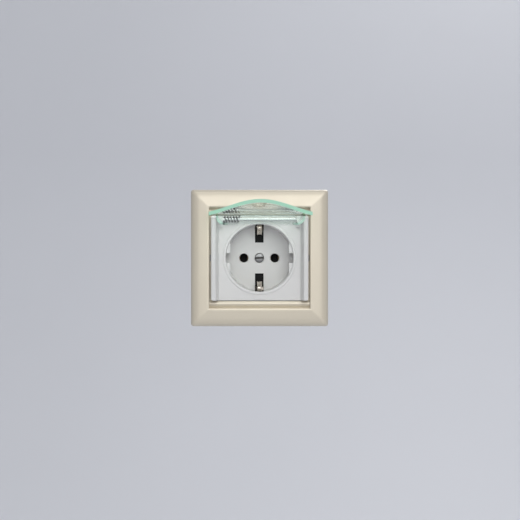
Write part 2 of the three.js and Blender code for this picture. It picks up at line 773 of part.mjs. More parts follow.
const clawScrew = {
  headRadius: 2.5,
  headFront: -3,
  headBack: -PLATE.thickness - FIT,
  shankRadius: 1.5,
  tip: 20,
};
for (const [side, sign] of [["left", -1], ["right", 1]]) {
  const facing = (made) => (sign < 0 ? mirrorX(made) : made);
  place(`claw_${side}`, facing(claw()), zincSteel);
  place(`claw_spring_${side}`, facing(clawSpring()), springSteel);
  const screw = place(`claw_screw_${side}`, slottedScrew({ ...clawScrew, slotAngle: 0.4 * sign }), zincSteel);
  screw.position.x = sign * CLAW.screwX;
}

const pinEnds = [-HINGE.pinHalfLength, HINGE.pinHalfLength];
place("hinge_pin", rodAlongX(HINGE.pinRadius, pinEnds, HINGE.y, HINGE.z), springSteel);
const springCoil = cut(
  rodAlongX(2.1, [-21.9, -11.8], HINGE.y, HINGE.z),
  rodAlongX(1.3, [-30, 0], HINGE.y, HINGE.z),
);
place("lid_spring", springCoil, springSteel);

// The lid stands open: its group sits on the hinge axis and carries it up and out.
const hinge = new THREE.Group();
hinge.position.set(0, HINGE.y, HINGE.z);
hinge.rotation.x = -LID.openAngle;
assembly.add(hinge);
place("lid", lid(), seaGreen, hinge);

export default assembly;
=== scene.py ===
"""A flush wall socket outlet with a hinged see-through lid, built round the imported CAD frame.

Lengths in the builders are millimetres and are turned into metres when a mesh is made. The
wall's face is the plane y = 0, the front looks along -Y, +Z is up, and the origin is the
socket's centre on the wall's face.
"""

import json
import math

import bmesh
import bpy
from mathutils import Matrix, Vector


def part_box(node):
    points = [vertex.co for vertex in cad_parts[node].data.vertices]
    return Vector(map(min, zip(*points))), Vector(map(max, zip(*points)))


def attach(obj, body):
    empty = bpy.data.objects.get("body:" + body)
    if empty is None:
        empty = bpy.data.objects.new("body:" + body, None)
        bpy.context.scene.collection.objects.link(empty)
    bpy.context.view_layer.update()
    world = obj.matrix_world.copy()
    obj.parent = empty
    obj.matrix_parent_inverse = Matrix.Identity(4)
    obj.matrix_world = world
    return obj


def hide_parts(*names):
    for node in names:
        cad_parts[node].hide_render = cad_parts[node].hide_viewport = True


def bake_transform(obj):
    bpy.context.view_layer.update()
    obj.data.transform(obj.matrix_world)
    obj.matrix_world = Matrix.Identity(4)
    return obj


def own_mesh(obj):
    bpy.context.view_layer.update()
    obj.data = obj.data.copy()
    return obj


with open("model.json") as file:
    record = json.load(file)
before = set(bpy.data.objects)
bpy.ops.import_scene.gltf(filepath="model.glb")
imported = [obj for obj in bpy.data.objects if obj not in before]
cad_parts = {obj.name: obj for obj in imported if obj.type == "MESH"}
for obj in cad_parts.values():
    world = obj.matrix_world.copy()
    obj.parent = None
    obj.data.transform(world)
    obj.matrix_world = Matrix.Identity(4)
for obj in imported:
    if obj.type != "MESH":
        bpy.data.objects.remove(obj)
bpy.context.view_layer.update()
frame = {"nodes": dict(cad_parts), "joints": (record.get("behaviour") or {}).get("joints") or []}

MM = 0.001
SCENE = bpy.context.scene


def cad_mm(node):
    """The lowest and highest corner of a CAD node, in millimetres."""
    low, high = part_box(node)
    return low / MM, high / MM


def joint(name):
    return next(j for j in frame["joints"] if j["name"] == name)


# ---------------------------------------------------------------- sizes, read off the frame

BEZEL_LOW, BEZEL_HIGH = cad_mm("bezel_frame")
COVER_LOW, COVER_HIGH = cad_mm("socket_cover")
PIN_LOW, PIN_HIGH = cad_mm("hinge_pin")
SPRING_LOW, SPRING_HIGH = cad_mm("lid_spring")

FRAME_HALF_WIDTH = BEZEL_HIGH.x
FRAME_HALF_HEIGHT = BEZEL_HIGH.z
FRAME_CORNER = 1.7
FRAME_FRONT = BEZEL_LOW.y
WINDOW_HALF_WIDTH = 30.5
WINDOW_HALF_HEIGHT = 30.7
WINDOW_CORNER = 0.5
BAND = FRAME_HALF_WIDTH - WINDOW_HALF_WIDTH
LEDGE_WIDTH = 2.2
LEDGE_FRONT = -4.8
LEDGE_BACK = -4.1
NOTCH_HALF_HEIGHT = 2

COVER_HALF_WIDTH = 29.4
COVER_HALF_HEIGHT = COVER_HIGH.z
COVER_CORNER = 1.4
COVER_EDGE_BACK = -5.1
COVER_BACK = -3.8
RAIL_TOP = COVER_LOW.y
FIELD = -5.9
FIELD_HALF_WIDTH = 24.5
RIM = -6.3
RING_OUTER = 22.35
MOUTH = 20.4
FLOOR_RADIUS = 19.9
FLOOR = RIM + 17.5
FLOOR_BACK = FLOOR + 1.6
SHELL = 21.9
PIN_X = 9.5
PIN_HOLE = 2.7
GUIDE_FLAT = 17.9
GUIDE_TOP = -4.9
GUIDE_NOTCH = 2.95

HINGE_Y, HINGE_Z = (c / MM for c in joint("lid_hinge")["pos_m"][1:])
HINGE_BORE = 1.2
LID_HALF_WIDTH = 29.8
LID_LENGTH = 50.0
LID_HEEL = 1.8
LID_THICKNESS = 2.1
LID_OFFSET = 2.75
LID_RISE = 7.4
LID_OPEN = math.radians(joint("lid_hinge")["range_deg"][1])
SKIRT_HALF_WIDTH = 25.7
SKIRT_DEPTH = 5.4
SKIRT_WALL = 1.1
SKIRT_CORNER = 4.6
SKIRT_START = 3.2
SKIRT_END = 45.2
SKIRT_LIP = 19.0
BARREL_RADIUS = 1.8
BARREL_REACH = (-11.4, 21.9)

EARTH_SLOT_HALF_WIDTH = 2.65
EARTH_SLOT_TOP = -4.9
EARTH_SLOT_REACH = (9.5, 20.9)
POCKET_SIZE = 1.8
POCKET_LOW = 16.9

SCREW_HEAD_DEPTHS = {2.8: 1.15, 2.45: 2.3, 2.5: 1.7}  # by the head's radius
TERMINALS = ("live", "neutral", "earth")
SIDES = {"left": -1, "right": 1}


# ---------------------------------------------------------------- mesh kit


def as_object(name, points, faces):
    mesh = bpy.data.meshes.new(name)
    mesh.from_pydata([tuple(c * MM for c in p) for p in points], [], faces)
    work = bmesh.new()
    work.from_mesh(mesh)
    bmesh.ops.remove_doubles(work, verts=work.verts, dist=1e-7)
    bmesh.ops.recalc_face_normals(work, faces=work.faces)
    work.to_mesh(mesh)
    work.free()
    obj = bpy.data.objects.new(name, mesh)
    SCENE.collection.objects.link(obj)
    return obj


def prism(outline, low, high, axis="Y"):
    """An outline given thickness along an axis.

    Its points are (x, z) along Y, (y, z) along X and (x, y) along Z.
    """
    place = {
        "X": lambda a, b, t: (t, a, b),
        "Y": lambda a, b, t: (a, t, b),
        "Z": lambda a, b, t: (a, b, t),
    }[axis]
    count = len(outline)
    points = [place(a, b, t) for t in (low, high) for a, b in outline]
    faces = [list(range(count)), list(range(count, 2 * count))]
    for i in range(count):
        j = (i + 1) % count
        faces.append([i, j, count + j, count + i])
    return as_object("prism", points, faces)


def block(x, y, z):
    return prism([(x[0], z[0]), (x[1], z[0]), (x[1], z[1]), (x[0], z[1])], y[0], y[1])


def lathe(profile, segments=128, x=0.0, z=0.0):
    """A closed profile of (radius, y) points turned about the line along Y through (x, z)."""
    points = []
    rings = []
    for radius, y in profile:
        start = len(points)
        steps = segments if radius > 0 else 1
        for i in range(steps):
            angle = 2 * math.pi * i / segments
            points.append((x + radius * math.cos(angle), y, z + radius * math.sin(angle)))
        rings.append((start, steps))
    faces = []
    for (a, a_steps), (b, b_steps) in zip(rings, rings[1:] + rings[:1]):
        if a_steps == 1 and b_steps == 1:
            continue
        for i in range(segments):
            j = (i + 1) % segments
            corners = [a + i % a_steps, a + j % a_steps, b + j % b_steps, b + i % b_steps]
            faces.append(list(dict.fromkeys(corners)))
    return as_object("lathe", points, faces)


def rod(radius, y, x=0.0, z=0.0, segments=96, front_radius=None):
    front = radius if front_radius is None else front_radius
    return lathe([(0, y[1]), (0, y[0]), (front, y[0]), (radius, y[1])], segments, x, z)


def rod_along_x(radius, x, y, z, segments=64):
    outline = []
    for i in range(segments):
        angle = 2 * math.pi * i / segments
        outline.append((y + radius * math.cos(angle), z + radius * math.sin(angle)))
    return prism(outline, x[0], x[1], "X")


def rounded_rectangle(half_width, half_height, radius, steps=10):
    outline = []
    corners = [(1, 1), (-1, 1), (-1, -1), (1, -1)]
    for quarter, (sx, sz) in enumerate(corners):
        for step in range(steps + 1):
            angle = (quarter + step / steps) * math.pi / 2
            x = sx * (half_width - radius) + radius * math.cos(angle)
            z = sz * (half_height - radius) + radius * math.sin(angle)
            outline.append((x, z))
    return outline


def tube(path, radius, sides=12):
    """A round wire along a path of points, with flat ends."""
    path = [Vector(p) for p in path]
    normal = None
    points = []
    for i, point in enumerate(path):
        along = (path[min(i + 1, len(path) - 1)] - path[max(i - 1, 0)]).normalized()
        if normal is None:
            normal = along.orthogonal().normalized()
        normal = (normal - along * normal.dot(along)).normalized()
        side = along.cross(normal)
        for j in range(sides):
            angle = 2 * math.pi * j / sides
            points.append(point + (normal * math.cos(angle) + side * math.sin(angle)) * radius)
    faces = [list(range(sides)), list(range(len(points) - sides, len(points)))]
    for i in range(len(path) - 1):
        for j in range(sides):
            k = (j + 1) % sides
            faces.append([i * sides + j, i * sides + k, (i + 1) * sides + k, (i + 1) * sides + j])
    return as_object("wire", points, faces)


def smooth_path(points, steps=6):
    """A Catmull-Rom curve through the points."""
    points = [Vector(p) for p in points]
    padded = [2 * points[0] - points[1], *points, 2 * points[-1] - points[-2]]
    path = []
    for a, b, c, d in zip(padded, padded[1:], padded[2:], padded[3:]):
        for step in range(steps):
            t = step / steps
            bend = 2 * a - 5 * b + 4 * c - d
            twist = 3 * b - a - 3 * c + d
            path.append((2 * b + (c - a) * t + bend * t * t + twist * t**3) / 2)
    return path + [points[-1]]


def apply_modifiers(obj):
    graph = bpy.context.evaluated_depsgraph_get()
    mesh = bpy.data.meshes.new_from_object(obj.evaluated_get(graph))
    obj.modifiers.clear()
    old = obj.data
    obj.data = mesh
    bpy.data.meshes.remove(old)


def boolean(body, tool, operation):
    modifier = body.modifiers.new("boolean", "BOOLEAN")
    modifier.object = tool
    modifier.operation = operation
    modifier.solver = "MANIFOLD"
    bpy.context.view_layer.update()
    apply_modifiers(body)
    bpy.data.objects.remove(tool)
    return body


def join(body, *parts):
    for part in parts:
        boolean(body, part, "UNION")
    return body


def cut(body, *tools):
    for tool in tools:
        boolean(body, tool, "DIFFERENCE")
    return body


def common(body, tool):
    return boolean(body, tool, "INTERSECT")


def mirrored(obj, axis=0):
    """A copy of obj mirrored in X (0) or Z (2)."""
    copy = obj.copy()
    copy.data = obj.data.copy()
    SCENE.collection.objects.link(copy)
    flip = Matrix.Identity(4)
    flip[axis][axis] = -1
    copy.data.transform(flip)
    copy.data.flip_normals()
    return copy


def turned_about_y(obj, angle, x=0.0, z=0.0):
    centre = Vector((x, 0, z)) * MM
    turn = Matrix.Translation(centre) @ Matrix.Rotation(angle, 4, "Y") @ Matrix.Translation(-centre)
    obj.data.transform(turn)
    return obj


def soften(obj, width, segments=3, angle=32, flatten=0.6, curved=False):
    """Rounds the sharp edges and shades the faces smooth, keeping the flat ones flat."""
    tidy = obj.modifiers.new("tidy", "WELD")
    tidy.merge_threshold = 0.004 * MM
    flat = obj.modifiers.new("flatten", "DECIMATE")
    flat.decimate_type = "DISSOLVE"
    flat.angle_limit = math.radians(flatten)
    bevel = obj.modifiers.new("round edges", "BEVEL")
    bevel.width = width * MM
    bevel.segments = segments
    bevel.limit_method = "ANGLE"
    bevel.angle_limit = math.radians(angle)
    bevel.miter_outer = "MITER_ARC"
    bevel.use_clamp_overlap = True
    bevel.harden_normals = curved
    if not curved:
        weighted = obj.modifiers.new("even shading", "WEIGHTED_NORMAL")
        weighted.keep_sharp = True
        weighted.weight = 60
    obj.data.polygons.foreach_set("use_smooth", [True] * len(obj.data.polygons))
    obj.data.update()
    return obj


def piece(obj, name, material, body, *nodes, slot=None):
    """Names a finished piece, gives it its material, and sets it in place of its CAD nodes."""
    obj.name = name
    obj.data.name = name
    obj.data.materials.clear()
    obj.data.materials.append(material)
    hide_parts(*nodes)
    if body:
        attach(obj, body)
    return obj


# ---------------------------------------------------------------- materials


class Surface:
    """A Principled material under construction, with its textures in the object's own metres."""

    def __init__(self, name, slot, color, roughness, metallic=0.0, **sockets):
        self.material = bpy.data.materials.new(name)
        self.material.use_nodes = True
        self.material["slot"] = slot
        self.tree = self.material.node_tree
        self.shader = self.tree.nodes["Principled BSDF"]
        self.set("Base Color", (*color, 1))
        self.set("Roughness", roughness)
        self.set("Metallic", metallic)
        for socket, value in sockets.items():
            self.set(socket.replace("_", " "), value)
        self.color = color
        self.bump = None
        self.place = self.node("ShaderNodeTexCoord").outputs["Object"]

    def set(self, socket, value):
        self.shader.inputs[socket].default_value = value

    def node(self, kind, **values):
        made = self.tree.nodes.new(kind)
        for key, value in values.items():
            if key in made.inputs.keys():
                made.inputs[key].default_value = value
            else:
                setattr(made, key, value)
        return made

    def link(self, output, target):
        self.tree.links.new(output, target)

    def noise(self, scale, detail=4.0, stretch=None):
        """Noise of so many waves per metre, drawn out along an axis by stretch."""
        place = self.place
        if stretch:
            mapping = self.node("ShaderNodeMapping", Scale=stretch)
            self.link(place, mapping.inputs["Vector"])
            place = mapping.outputs["Vector"]
        made = self.node("ShaderNodeTexNoise", Scale=scale, Detail=detail)
        self.link(place, made.inputs["Vector"])
        return made.outputs["Fac"]

    def spread(self, value, low, high):
        """A 0 to 1 texture mapped to the range low to high."""
        mapped = self.node("ShaderNodeMapRange")
        mapped.inputs["From Min"].default_value = 0.3
        mapped.inputs["From Max"].default_value = 0.7
        mapped.inputs["To Min"].default_value = low
        mapped.inputs["To Max"].default_value = high
        self.link(value, mapped.inputs["Value"])
        return mapped.outputs["Result"]

    def vary_roughness(self, value, low, high):
        self.link(self.spread(value, low, high), self.shader.inputs["Roughness"])
        return self

    def vary_color(self, value, other, share=1.0):
        """Mixes the base colour towards another where the texture is high."""
        mix = self.node("ShaderNodeMix", data_type="RGBA")
        mix.inputs[6].default_value = (*self.color, 1)
        mix.inputs[7].default_value = (*other, 1)
        self.link(self.spread(value, 0, share), mix.inputs[0])
        self.link(mix.outputs[2], self.shader.inputs["Base Color"])
        return self

    def add_bump(self, value, height_mm, strength=1.0):
        bump = self.node("ShaderNodeBump", Strength=strength, Distance=height_mm * MM)
        self.link(value, bump.inputs["Height"])
        if self.bump:
            self.link(self.bump, bump.inputs["Normal"])
        self.bump = bump.outputs["Normal"]
        self.link(self.bump, self.shader.inputs["Normal"])
        return self


def champagne():
    made = Surface(
        "champagne lacquer",
        "champagne_plastic",
        (0.66, 0.595, 0.475),
        0.40,
        0.32,
        Coat_Weight=0.2,
        Coat_Roughness=0.3,
    )
    flakes = made.noise(9000, 2)
    made.vary_color(flakes, (0.73, 0.665, 0.545), 0.7)
    made.vary_roughness(made.noise(140, 5), 0.37, 0.43)
    made.add_bump(flakes, 0.003, 0.4)
    made.add_bump(made.noise(260, 3), 0.008, 0.2)
    return made.material


def white_plastic():
    made = Surface("white plastic", "white_plastic", (0.68, 0.672, 0.66), 0.38, IOR=1.5)
    made.set("Subsurface Weight", 0.08)
    made.set("Subsurface Radius", (1.0, 0.9, 0.8))
    made.set("Subsurface Scale", 0.0008)
    made.vary_color(made.noise(60, 5), (0.655, 0.648, 0.638), 0.8)
    made.vary_roughness(made.noise(420, 6), 0.31, 0.41)
    made.add_bump(made.noise(2600, 3), 0.005, 0.3)
    made.add_bump(made.noise(180, 2), 0.010, 0.12)
    return made.material


def sea_green(name, color, clearness, roughness):
    """Clear plastic with a green tint; lamps shine through it, so it throws only a pale shadow."""
    made = Surface(name, "tinted_clear_plastic", color, roughness, IOR=1.3)
    made.set("Transmission Weight", clearness)
    made.vary_roughness(made.noise(300, 4), roughness * 0.7, roughness * 1.4)
    made.add_bump(made.noise(50, 1), 0.005, 0.05)
    tint = made.node("ShaderNodeVolumeAbsorption", Color=(0.45, 0.95, 0.76, 1), Density=16)
    made.link(tint.outputs["Volume"], made.tree.nodes["Material Output"].inputs["Volume"])
    lamps = made.node("ShaderNodeBsdfTransparent", Color=(0.97, 0.982, 0.976, 1))
    mix = made.node("ShaderNodeMixShader")
    made.link(made.node("ShaderNodeLightPath").outputs["Is Shadow Ray"], mix.inputs[0])
    made.link(made.shader.outputs["BSDF"], mix.inputs[1])
    made.link(lamps.outputs["BSDF"], mix.inputs[2])
    made.link(mix.outputs["Shader"], made.tree.nodes["Material Output"].inputs["Surface"])
    return made.material


def black_plastic(name, tone, gloss):
    made = Surface(name, "black_plastic", (tone, tone, tone * 1.05), 0.5, Specular_IOR_Level=gloss)
    made.vary_color(made.noise(500, 5), (tone * 1.8, tone * 1.8, tone * 1.9), 0.8)
    made.vary_roughness(made.noise(900, 6), 0.42, 0.6)
    made.add_bump(made.noise(3200, 4), 0.012, 0.5)
    return made.material


def zinc_steel(name="zinc plated steel", tone=0.52, slot_floor=None):
    """slot_floor is the depth in mm, along Y, beyond which a screw's slot is painted near black as
    shade.
    """
    made = Surface(name, "zinc_steel", (tone, tone, tone), 0.42, 1.0)
    made.vary_color(made.noise(220, 6), (tone * 0.86, tone * 0.87, tone * 0.88), 0.9)
    if slot_floor is not None:
        apart = made.node("ShaderNodeSeparateXYZ")
        made.link(made.place, apart.inputs[0])
        depth = made.node("ShaderNodeMapRange")
        depth.inputs["From Min"].default_value = (slot_floor - 0.3) * MM
        depth.inputs["From Max"].default_value = slot_floor * MM
        made.link(apart.outputs["Y"], depth.inputs["Value"])
        # Painted shade: past slot_floor the slot's floor turns near black, standing in for the shade
        # inside the slot.
        mix = made.node("ShaderNodeMix", data_type="RGBA")
        mix.inputs[7].default_value = (0.06, 0.058, 0.055, 1)
        made.link(depth.outputs["Result"], mix.inputs[0])
        made.link(made.shader.inputs["Base Color"].links[0].from_socket, mix.inputs[6])
        made.link(mix.outputs[2], made.shader.inputs["Base Color"])
    made.vary_roughness(made.noise(700, 6), 0.32, 0.5)
    made.add_bump(made.noise(1500, 4), 0.004, 0.3)
    return made.material


def bright_steel(name, tone, roughness):
    made = Surface(name, "spring_steel", (tone, tone, tone), roughness, 1.0)
    made.vary_roughness(made.noise(2500, 4), roughness * 0.7, roughness * 1.4)
    made.add_bump(made.noise(6000, 3), 0.002, 0.3)
    return made.material


def nickel():
    made = Surface("nickel plated strip", "nickel_metal", (0.66, 0.60, 0.53), 0.26, 1.0)
    made.vary_color(made.noise(400, 5), (0.58, 0.51, 0.43), 0.8)
    made.vary_roughness(made.noise(900, 5, (1, 1, 0.15)), 0.2, 0.34)
    made.add_bump(made.noise(1200, 2, (1, 0.1, 0.1)), 0.001, 0.3)
    return made.material


def brass():
    made = Surface("brass", "brass", (0.70, 0.50, 0.22), 0.3, 1.0)
    made.vary_color(made.noise(300, 6), (0.58, 0.38, 0.15), 0.8)
    made.vary_roughness(made.noise(800, 5), 0.22, 0.4)
    made.add_bump(made.noise(2200, 3), 0.004, 0.4)
    return made.material


CHAMPAGNE = champagne()
WHITE = white_plastic()
GREEN = sea_green("sea green clear plastic", (0.985, 0.998, 0.992), 1.0, 0.02)
# The edge band's greener, less clear plastic is painted light: it stands in for light carried along the
# sheet to its edges.
GREEN_EDGE_PAINTED_LIGHT = sea_green("sea green edge painted light", (0.58, 0.97, 0.77), 0.3, 0.15)
BLACK = black_plastic("black moulded plastic", 0.010, 0.5)
WELL_BLACK = black_plastic("dull black plastic", 0.003, 0.15)
ZINC = zinc_steel()
SPRING_STEEL = bright_steel("bright spring steel", 0.36, 0.16)
PIN_STEEL = bright_steel("satin pin steel", 0.78, 0.34)
NICKEL = nickel()
BRASS = brass()


# ---------------------------------------------------------------- bezel frame

BEZEL_FRONT = [
    (0, 0),
    (0, -3.4),
    (0.2, -4.9),
    (0.7, -6.3),
    (1.6, -7.4),
    (2.8, -8.15),
    (4.4, -8.7),
    (6.8, -9.1),
    (9.2, -9.4),
    (10.5, FRAME_FRONT),
    (BAND, -9.3),
]
BEZEL_BACK = [
    (BAND, LEDGE_FRONT),
    (BAND + LEDGE_WIDTH, LEDGE_FRONT),
    (BAND + LEDGE_WIDTH, LEDGE_BACK),
    (9.2, LEDGE_BACK),
    (9.2, -7.6),
    (5.4, -7.2),
    (3.6, -6.6),
    (2.2, -5.2),
    (1.6, -3.2),
    (1.6, 0),
]


def bezel_loop(inset, y):
    """The outline of the bezel at a distance in from its outer edge."""
    share = inset / BAND
    radius = FRAME_CORNER + (WINDOW_CORNER - FRAME_CORNER) * share
    width = FRAME_HALF_WIDTH + (WINDOW_HALF_WIDTH - FRAME_HALF_WIDTH) * share
    height = FRAME_HALF_HEIGHT + (WINDOW_HALF_HEIGHT - FRAME_HALF_HEIGHT) * share
    return [(x, y, z) for x, z in rounded_rectangle(width, height, radius)]


def ring_of(loops):
    """A closed ring-shaped solid through a list of loops of equal length."""
    count = len(loops[0])
    points = [p for loop in loops for p in loop]
    faces = []
    for i in range(len(loops)):
        n = (i + 1) % len(loops)
        for j in range(count):
            k = (j + 1) % count
            faces.append([i * count + j, i * count + k, n * count + k, n * count + j])
    return as_object("ring", points, faces)


def bezel_frame():
    curve = smooth_path([(inset, y, 0) for inset, y in BEZEL_FRONT[1:]], 5)
    front = BEZEL_FRONT[:1] + [(p.x, max(p.y, FRAME_FRONT)) for p in curve]
    body = ring_of([bezel_loop(inset, y) for inset, y in front + BEZEL_BACK])
    inner = COVER_HALF_HEIGHT + 0.3
    outer = WINDOW_HALF_HEIGHT + 0.4
    outline = [
        (LEDGE_BACK, inner),
        (-5.9, inner),
        (-6.7, 26.6),
        (-7.1, 27.4),
        (-7.1, 28.2),
        (-6.6, 29.3),
        (-6.1, 30.2),
        (-6.1, outer),
        (LEDGE_BACK, outer),
    ]
    sill = prism(outline, -WINDOW_HALF_WIDTH - 0.4, WINDOW_HALF_WIDTH + 0.4, "X")
    join(body, mirrored(sill, 2), sill)
    notch = block(
        (COVER_HALF_WIDTH - 0.4, WINDOW_HALF_WIDTH - 0.3),
        (LEDGE_FRONT - 1, LEDGE_BACK + 1),
        (-NOTCH_HALF_HEIGHT, NOTCH_HALF_HEIGHT),
    )
    cut(body, mirrored(notch), notch)
    soften(body, 0.18, 3, 34)
    return piece(body, "bezel_frame_shell", CHAMPAGNE, "socket", "bezel_frame")


# ---------------------------------------------------------------- socket cover


def rail():
    outline = [
        (FIELD_HALF_WIDTH, COVER_EDGE_BACK - 0.2),
        (COVER_HALF_WIDTH, COVER_EDGE_BACK - 0.2),
        (COVER_HALF_WIDTH, RAIL_TOP + 0.7),
        (COVER_HALF_WIDTH - 0.2, RAIL_TOP + 0.2),
        (COVER_HALF_WIDTH - 0.7, RAIL_TOP),
        (27.1, RAIL_TOP),
        (26.6, RAIL_TOP + 0.25),
        (26.3, RAIL_TOP + 0.8),
        (25.3, -7.9),
        (25.0, -6.6),
        (24.8, -5.9),
        (FIELD_HALF_WIDTH, FIELD),
    ]
    bar = prism(outline, -COVER_HALF_HEIGHT, COVER_HALF_HEIGHT, "Z")
    trim = prism(
        rounded_rectangle(COVER_HALF_WIDTH + 0.01, COVER_HALF_HEIGHT, COVER_CORNER), RAIL_TOP - 1, 0
    )
    corner = block((20, 32), (RAIL_TOP - 1, HINGE_Y), (HINGE_Z, COVER_HALF_HEIGHT + 1))
    cut(corner, rod_along_x(LID_OFFSET - 0.32, (19, 33), HINGE_Y, HINGE_Z, 128))
    return cut(common(bar, trim), corner)


def hinge_lug():
    lug = block((22.3, 25.4), (HINGE_Y - 1.7, FIELD + 0.5), (21.2, COVER_HALF_HEIGHT - 0.4))
    foot = block((22.4, 25), (FIELD - 0.8, FIELD + 0.5), (18.4, 21.3))
    return join(lug, foot)


def plug_cup():
    cup = lathe(
        [
            (0, FLOOR_BACK),
            (0, FLOOR),
            (FLOOR_RADIUS - 0.5, FLOOR),
            (FLOOR_RADIUS - 0.15, FLOOR - 0.15),
            (FLOOR_RADIUS, FLOOR - 0.5),
            (MOUTH, RIM + 0.9),
            (20.55, RIM + 0.35),
            (20.85, RIM + 0.06),
            (21.2, RIM),
            (21.7, RIM),
            (22.05, RIM + 0.08),
            (22.28, RIM + 0.35),
            (RING_OUTER, FIELD + 0.1),
            (RING_OUTER, FIELD + 1.4),
            (SHELL, FIELD + 2),
            (SHELL - 0.4, FLOOR_BACK),
        ],
        192,
    )
    inside = rod(MOUTH + 0.2, (GUIDE_TOP, FLOOR + 0.5), segments=192)
    side = common(block((GUIDE_FLAT, 22), (GUIDE_TOP - 1, FLOOR + 1), (-15, 15)), inside)
    notch = block((17, MOUTH + 0.3), (GUIDE_TOP, FLOOR - 0.5), (-GUIDE_NOTCH, GUIDE_NOTCH))
    return cut(join(cup, mirrored(side), side), mirrored(notch), notch)


def earth_slot():
    return block(
        (-EARTH_SLOT_HALF_WIDTH, EARTH_SLOT_HALF_WIDTH),
        (EARTH_SLOT_TOP, FLOOR_BACK + 1),
        EARTH_SLOT_REACH,
    )


def socket_cover():
    body = prism(
        rounded_rectangle(COVER_HALF_WIDTH, COVER_HALF_HEIGHT, COVER_CORNER), FIELD, COVER_EDGE_BACK
    )
    between_ledges = WINDOW_HALF_WIDTH - LEDGE_WIDTH - 0.6
    behind = rounded_rectangle(between_ledges, COVER_HALF_HEIGHT - 1, COVER_CORNER)
    bottom = -COVER_HALF_HEIGHT
    lip = block((-25, 25), (FIELD - 0.4, FIELD + 0.5), (bottom, bottom + 0.9))
    latch = block((-3.3, 3.3), (FIELD - 0.8, FIELD + 0.5), (-25, -22.7))
    join(body, prism(behind, FIELD + 0.2, COVER_BACK), lip, latch)
    for make in (rail, hinge_lug):
        part = make()
        join(body, mirrored(part), part)
    cut(body, rod(21, (-8, 0), segments=192))
    join(body, plug_cup())
    for x in (-PIN_X, PIN_X):
        cut(body, rod(PIN_HOLE, (FLOOR - 1, FLOOR_BACK + 1), x))
        cut(body, rod(PIN_HOLE, (FLOOR - 0.05, FLOOR + 0.5), x, 0, 96, PIN_HOLE + 0.45))
    cut(body, rod(3.1, (FLOOR - 1, FLOOR + 1.15)), rod(2.1, (FLOOR, FLOOR_BACK + 1)))
    slot = earth_slot()
    cut(body, mirrored(slot, 2), slot)
    cut(body, rod_along_x(HINGE_BORE, (-26.1, 26.1), HINGE_Y, HINGE_Z))
    for x in (-24.2, 22.4):
        across = (x, x + POCKET_SIZE)
        cut(body, block(across, (FIELD - 1, FIELD + 0.8), (POCKET_LOW, POCKET_LOW + POCKET_SIZE)))
    soften(body, 0.22, 3, 34)
    return piece(body, "socket_cover_shell", WHITE, "socket", "socket_cover")


# ---------------------------------------------------------------- lid


def arch(x):
    """How far the lid's sheet arches out at x, from 0 to 1."""
    share = x / LID_HALF_WIDTH
    return ((1 + math.cos(math.pi * share)) / 2 + 1 - share * share) / 2


def lid_sheet(columns=96, rows=24):
    """The lid's sheet, shut, round the hinge axis: straight there and arched at its free edge."""
    stations = [-LID_HEEL] + [LID_LENGTH * row / rows for row in range(rows + 1)]
    points = []
    for face in (0, LID_THICKNESS):
        for along in stations:
            share = max(along, 0) / LID_LENGTH
            for column in range(columns + 1):
                x = LID_HALF_WIDTH * (2 * column / columns - 1)
                points.append((x, -(LID_OFFSET + face + LID_RISE * arch(x) * share), -along))
    width = columns + 1
    sheet = width * len(stations)
    last = sheet - width
    faces = []
    for row in range(len(stations) - 1):
        for column in range(columns):
            a = row * width + column
            quad = [a, a + 1, a + width + 1, a + width]
            faces += [quad, [sheet + i for i in reversed(quad)]]
        for a in (row * width, row * width + columns):
            faces.append([a, a + width, sheet + a + width, sheet + a])
    for column in range(columns):
        for a in (column, last + column):
            faces.append([a, a + 1, sheet + a + 1, sheet + a])
    return as_object("sheet", points, faces)


def skirt_outline(inset, steps=12):
    """The skirt's section as (x, y): rounded below, and open upwards into the sheet."""
    half = SKIRT_HALF_WIDTH - inset
    bottom = -LID_OFFSET + SKIRT_DEPTH - inset
    radius = SKIRT_CORNER - inset / 2
    top = -LID_OFFSET - LID_RISE - 1
    outline = [(-half, top), (half, top)]
    for side in (1, -1):
        for step in range(steps + 1):
            angle = (step / steps if side > 0 else 1 - step / steps) * math.pi / 2
            outline.append(
                (
                    side * (half - radius + radius * math.cos(angle)),
                    bottom - radius + radius * math.sin(angle),
                )
            )
    return outline


def above_sheet():
    """Everything beyond the middle of the sheet's thickness, to trim what stands under it."""
    sheet = lid_sheet(64, 12)
    flat = -(LID_OFFSET + LID_RISE + 12)
    middle = -LID_THICKNESS / 3 * MM
    for vertex in sheet.data.vertices:
        share = max(-vertex.co.z / MM, 0) / LID_LENGTH
        rise = LID_RISE * arch(vertex.co.x / MM) * share
        inner = vertex.co.y > -(LID_OFFSET + LID_THICKNESS / 2 + rise) * MM
        vertex.co.y = vertex.co.y + middle if inner else flat * MM
        if abs(vertex.co.z + LID_LENGTH * MM) < 1e-6:
            vertex.co.z -= 2 * MM
        elif vertex.co.z > 1e-6:
            vertex.co.z += 2 * MM
    return sheet


